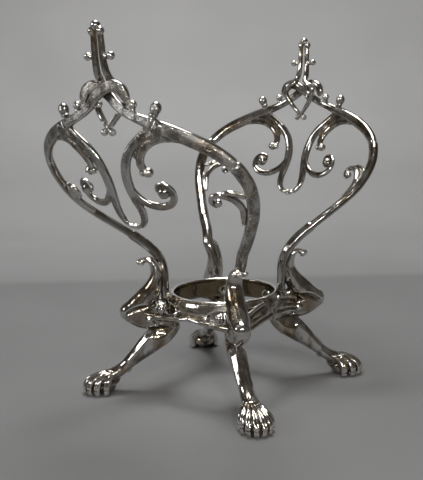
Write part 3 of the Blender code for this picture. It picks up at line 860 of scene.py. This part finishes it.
def placed(mesh, material, copies):
    """Mirrored objects that share the mesh; copies gives the CAD node of each, and its mirroring."""
    mesh.materials.clear()
    mesh.materials.append(material)
    for node, (across, along) in copies.items():
        made = bpy.data.objects.new(f"cast_{node}", mesh)
        made.scale = (across, along, 1)
        bpy.context.scene.collection.objects.link(made)
        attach(made, "root")
        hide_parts(node)


def at_corners(mesh, material, base):
    placed(mesh, material, {f"{base}_{corner}": scale for corner, scale in CORNERS.items()})


def at_ends(mesh, material, base, mirror=1):
    placed(mesh, material, {f"{base}_{end}": (x * mirror, y) for end, (x, y) in ENDS.items()})


at_corners(leg(), POLISHED, "leg")
at_corners(side_bar(), BRUSHED, "side_bar")
at_corners(leaf_scroll(), BRUSHED, "leaf_scroll")
at_ends(crest("crest_under", -1), BRUSHED, "crest_right")
at_ends(crest("crest_over", 1), BRUSHED, "crest_left", -1)
at_ends(pendant_link(), BRUSHED, "pendant_link")
at_ends(finial(), POLISHED, "finial")
placed(hub_ring(), TARNISHED, {"hub_ring": (1, 1)})
at_corners(side_strut(), TARNISHED, "hub_strut_side")
at_corners(panel_strut(), TARNISHED, "hub_strut_panel")
at_corners(screw(), POLISHED, "hub_screw")
at_corners(nut(), POLISHED, "hub_nut")


# ---------------------------------------------------------------- stage, lights and camera

def lamp(name, place, target, size, power, colour=(1, 1, 1)):
    """A round area lamp at the place, facing the target."""
    data = bpy.data.lights.new(name, "AREA")
    data.shape = "DISK"
    data.size = size
    data.energy = power
    data.color = colour
    made = bpy.data.objects.new(name, data)
    made.location = place
    aim = Vector(target) - Vector(place)
    made.rotation_euler = aim.to_track_quat("-Z", "Y").to_euler()
    bpy.context.scene.collection.objects.link(made)
    return made


VIEW_AZIMUTH = math.radians(34.69)
VIEW_ELEVATION = math.radians(10.29)
VIEW_ROLL = math.radians(-1.29)
CAMERA_AT = Vector((0.2308, -0.3362, 0.1504))

back = Vector((
    math.sin(VIEW_AZIMUTH) * math.cos(VIEW_ELEVATION),
    -math.cos(VIEW_AZIMUTH) * math.cos(VIEW_ELEVATION),
    math.sin(VIEW_ELEVATION),
))
level = Vector((math.cos(VIEW_AZIMUTH), math.sin(VIEW_AZIMUTH), 0))
upright = back.cross(level)
right = level * math.cos(VIEW_ROLL) + upright * math.sin(VIEW_ROLL)
up = upright * math.cos(VIEW_ROLL) - level * math.sin(VIEW_ROLL)

camera_data = bpy.data.cameras.new("camera")
camera_data.lens = 60.9
camera_data.sensor_width = 36
camera_data.shift_x = -0.0175
camera_data.shift_y = -0.00125
camera_data.clip_start = 0.01
camera_data.clip_end = 20
camera = bpy.data.objects.new("camera", camera_data)
camera.matrix_world = Matrix.Translation(CAMERA_AT) @ Matrix((right, up, back)).transposed().to_4x4()
bpy.context.scene.collection.objects.link(camera)
bpy.context.scene.camera = camera

away = Vector((-back.x, -back.y, 0)).normalized()
SPAN = 3.0  # the sheet's reach to each side and towards the camera
FLAT = (0.234, 0.25, 0.29, 0.327, 0.37, 0.42)  # where the flat part has rows, for its tones
BEND_AT = 0.48  # where the sheet begins to curve upwards
BEND = 0.32
TOP = 1.6
TONES = (  # distance behind the stand, and how pale the sheet is painted there: painted light, darker on the floor round the stand and paler further back and up the wall
    (0.234, 0.165), (0.250, 0.205), (0.327, 0.241), (0.42, 0.278), (0.57, 0.31),
    (0.64, 0.31), (0.72, 0.376), (0.775, 0.385), (0.80, 0.41),
)


def roll(name, profile, material):
    """A sheet across the view, through these distances behind the stand and heights."""
    reach = level * SPAN
    distances, paleness = zip(*TONES)
    rows = [away * distance + Vector((0, 0, height)) for distance, height in profile]
    mesh = bpy.data.meshes.new(name)
    places = [tuple(row + reach * side) for row in rows for side in (-1, 1)]
    faces = [(2 * i, 2 * i + 1, 2 * i + 3, 2 * i + 2) for i in range(len(rows) - 1)]
    mesh.from_pydata(places, [], faces)
    mesh.shade_smooth()
    mesh.materials.append(material)
    tones = np.interp([distance for distance, _ in profile], distances, paleness)
    # painted light: the sheet's tone is darker round the stand and paler further back and up the wall
    store(mesh, "tone", np.repeat(tones, 2))
    made = bpy.data.objects.new(name, mesh)
    bpy.context.scene.collection.objects.link(made)


floor = [(distance, 0) for distance in (-SPAN, *FLAT)]
bend = [
    (BEND_AT + BEND * math.sin(angle), BEND * (1 - math.cos(angle)))
    for angle in np.linspace(0, math.pi / 2, 25)
]
roll("studio_sheet", [*floor, *bend, (BEND_AT + BEND, TOP)], matte("studio_grey", 0.94))

middle = (0, 0, 0.08)
above = Vector((0, 0, 1))
lamp("soft_top", away * 0.10 + above * 0.8, middle, 0.45, 4.2)
lamp("wall_wash", away * 0.3 + above * 1.1, away * 0.75 + above * 0.25, 0.3, 5.0)
lamp("left_window", -level * 0.8 - away * 0.25 + above * 0.5, middle, 0.3, 1.6, (0.97, 0.98, 1.0))
far_fill = lamp("far_fill", -away * 1.7 + above * 2.0, -away * 1.7, 1.2, 10.0)
far_fill.visible_glossy = False  # it lights the floor behind the camera, and the metal doesn't show it
for side in (-1, 1):
    place = CAMERA_AT * 1.5 + level * (0.10 * side + 0.03) + above * 0.14
    lamp(f"front_lamp_{side}", place, middle, 0.05, 0.8, (1.0, 0.98, 0.95))

world = bpy.data.worlds.new("room")
world.use_nodes = True
world.node_tree.nodes["Background"].inputs["Color"].default_value = (0.092, 0.084, 0.073, 1)
world.node_tree.nodes["Background"].inputs["Strength"].default_value = 1
bpy.context.scene.world = world
bpy.context.scene.view_settings.view_transform = "Standard"
